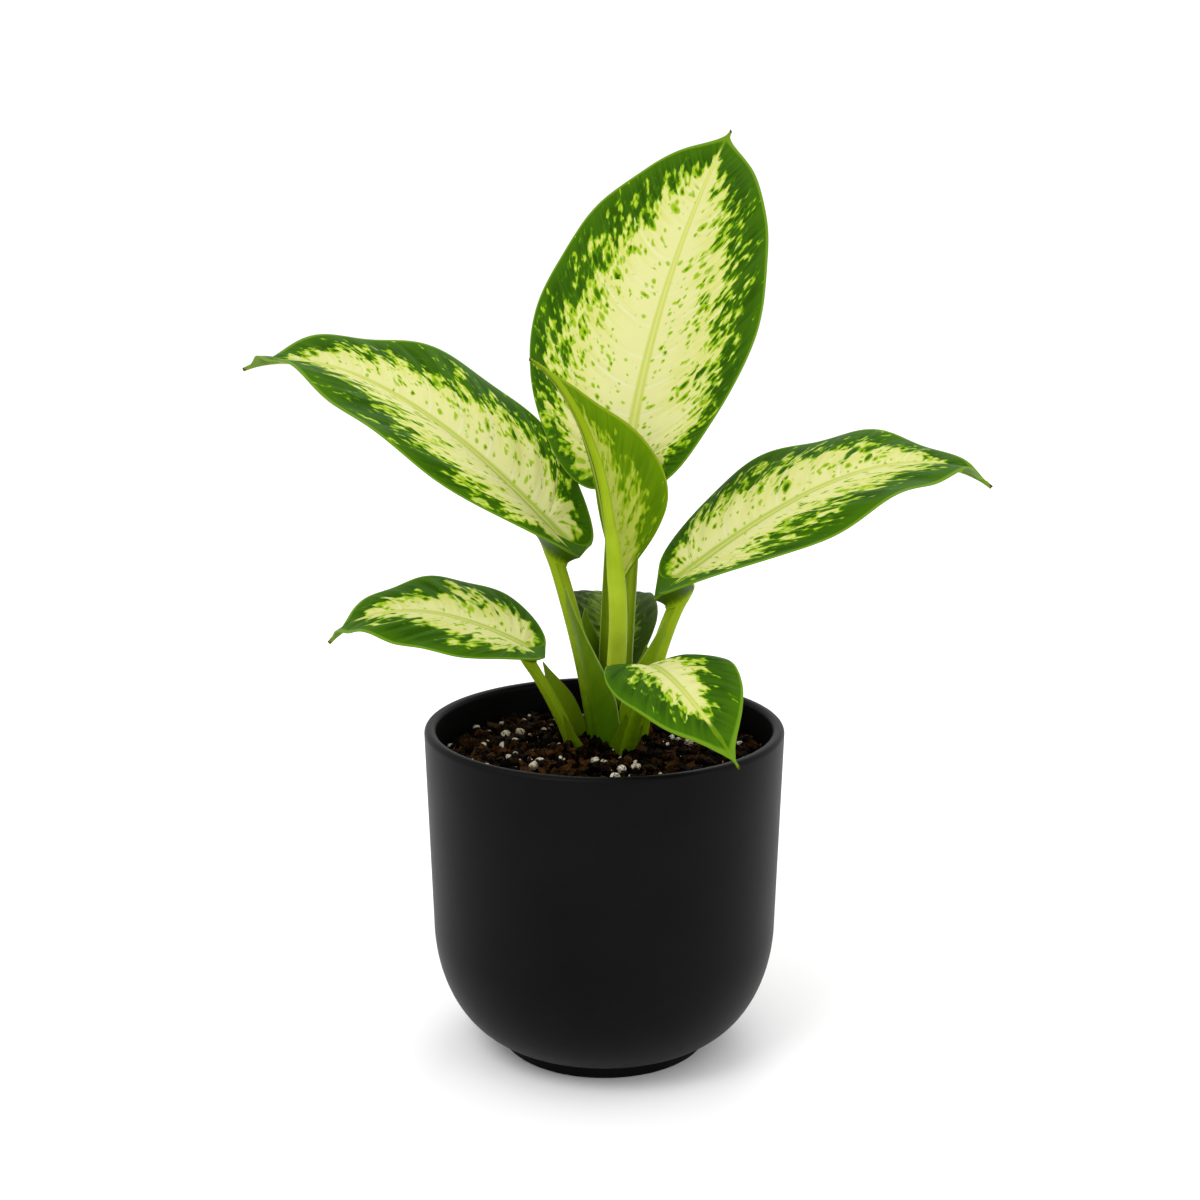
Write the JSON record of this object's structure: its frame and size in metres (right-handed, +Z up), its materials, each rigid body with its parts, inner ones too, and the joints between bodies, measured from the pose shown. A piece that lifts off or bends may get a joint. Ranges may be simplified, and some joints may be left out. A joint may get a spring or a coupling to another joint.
{
  "type": "potted houseplant",
  "caption": "Variegated dieffenbachia with cream and green pointed leaves on sheathed stalks, in a round matte black pot with a small foot.",
  "frame": {"origin": "centre of the pot's underside, on the surface it stands on", "axes": "+Z up out of the pot, -Y towards the front of the pot, +X to the right seen from the front"},
  "size_m": [0.2752, 0.1545, 0.319],
  "materials": {
    "pot": "matte black, slightly satin",
    "soil": "dry potting mix of peat and bark with white perlite",
    "cane": "smooth young plant stem",
    "stalk": "smooth yellow-green, faintly streaked",
    "leaf": "satin leaf, cream centre with green margins and flecks",
    "young_leaf": "satin young leaf, yellow-green with faint cream streaks"
  },
  "bodies": {
    "root": {"pot": "pot", "soil": "soil", "cane": "cane", "stalk_young": "stalk", "leaf_young": "young_leaf", "stalk_tall": "stalk", "leaf_tall": "leaf", "stalk_back": "stalk", "leaf_back": "leaf", "stalk_left": "stalk", "leaf_left": "leaf", "stalk_right": "stalk", "leaf_right": "leaf", "stalk_lower_left": "stalk", "leaf_lower_left": "leaf", "stalk_front": "stalk", "leaf_front": "leaf"}
  },
  "joints": []
}
